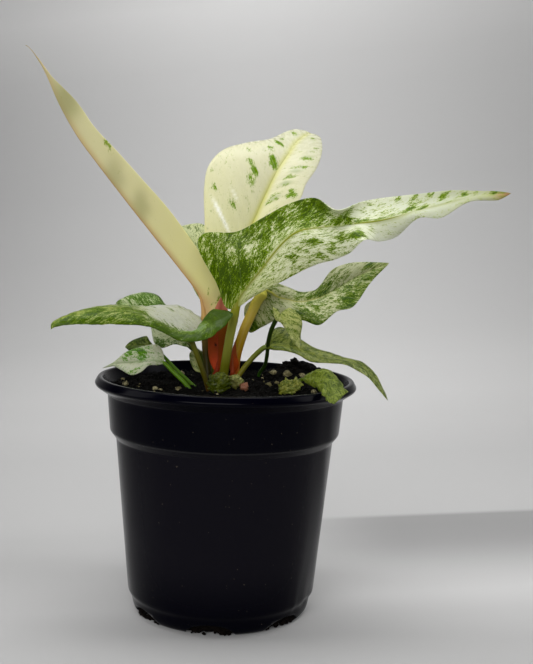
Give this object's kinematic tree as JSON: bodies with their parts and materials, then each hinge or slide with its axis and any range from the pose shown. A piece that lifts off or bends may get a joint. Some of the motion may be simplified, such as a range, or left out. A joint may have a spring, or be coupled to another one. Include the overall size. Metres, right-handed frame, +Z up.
{
  "type": "potted variegated anthurium",
  "caption": "Young aroid house plant with strap leaves splashed in cream, white and green, in a ribbed-rim round black nursery pot of soil.",
  "frame": {"origin": "centre of the pot's underside, on the surface that it stands on", "axes": "+Z up along the pot's axis, +X to the right and +Y away from the viewer as in the picture"},
  "size_m": [0.1875, 0.1181, 0.2325],
  "materials": {
    "pot_plastic": "satin black, thin injection-moulded wall",
    "soil": "damp dark peat with white perlite grains",
    "leaf_cream_spear": "waxy leaf, satin, variegated",
    "leaf_white_back": "waxy leaf, satin, variegated",
    "leaf_large_front": "waxy leaf, satin, variegated",
    "leaf_mottled_right": "waxy leaf, satin, variegated",
    "leaf_drooping_right": "waxy leaf, satin, variegated",
    "leaf_small_hanging": "waxy leaf, satin, variegated",
    "leaf_over_rim": "waxy leaf, satin, variegated",
    "leaf_large_left": "waxy leaf, satin, variegated",
    "leaf_behind_left": "waxy leaf, satin, variegated",
    "leaf_low_left": "waxy leaf, satin, variegated",
    "leaf_curled_left": "waxy leaf, satin, variegated",
    "leaf_folded_crown": "waxy leaf, satin, variegated",
    "leaf_crinkled_crown": "waxy leaf, satin, variegated",
    "leaf_crinkled_pale": "waxy leaf, satin, variegated",
    "leaf_crinkled_right": "waxy leaf, satin, variegated",
    "leaf_rear": "waxy leaf, satin, variegated",
    "scrap_pink": "dry papery sheath, satin",
    "sheath_red_large": "dry papery sheath, satin",
    "sheath_red_small": "dry papery sheath, satin"
  },
  "bodies": {
    "root": {"pot": "pot_plastic", "soil": "soil", "leaf_cream_spear": "leaf_cream_spear", "leaf_white_back": "leaf_white_back", "leaf_large_front": "leaf_large_front", "leaf_mottled_right": "leaf_mottled_right", "leaf_drooping_right": "leaf_drooping_right", "leaf_small_hanging": "leaf_small_hanging", "leaf_over_rim": "leaf_over_rim", "leaf_large_left": "leaf_large_left", "leaf_behind_left": "leaf_behind_left", "leaf_low_left": "leaf_low_left", "leaf_curled_left": "leaf_curled_left", "leaf_folded_crown": "leaf_folded_crown", "leaf_crinkled_crown": "leaf_crinkled_crown", "leaf_crinkled_pale": "leaf_crinkled_pale", "leaf_crinkled_right": "leaf_crinkled_right", "leaf_rear": "leaf_rear", "scrap_pink": "scrap_pink", "sheath_red_large": "sheath_red_large", "sheath_red_small": "sheath_red_small"}
  },
  "joints": []
}
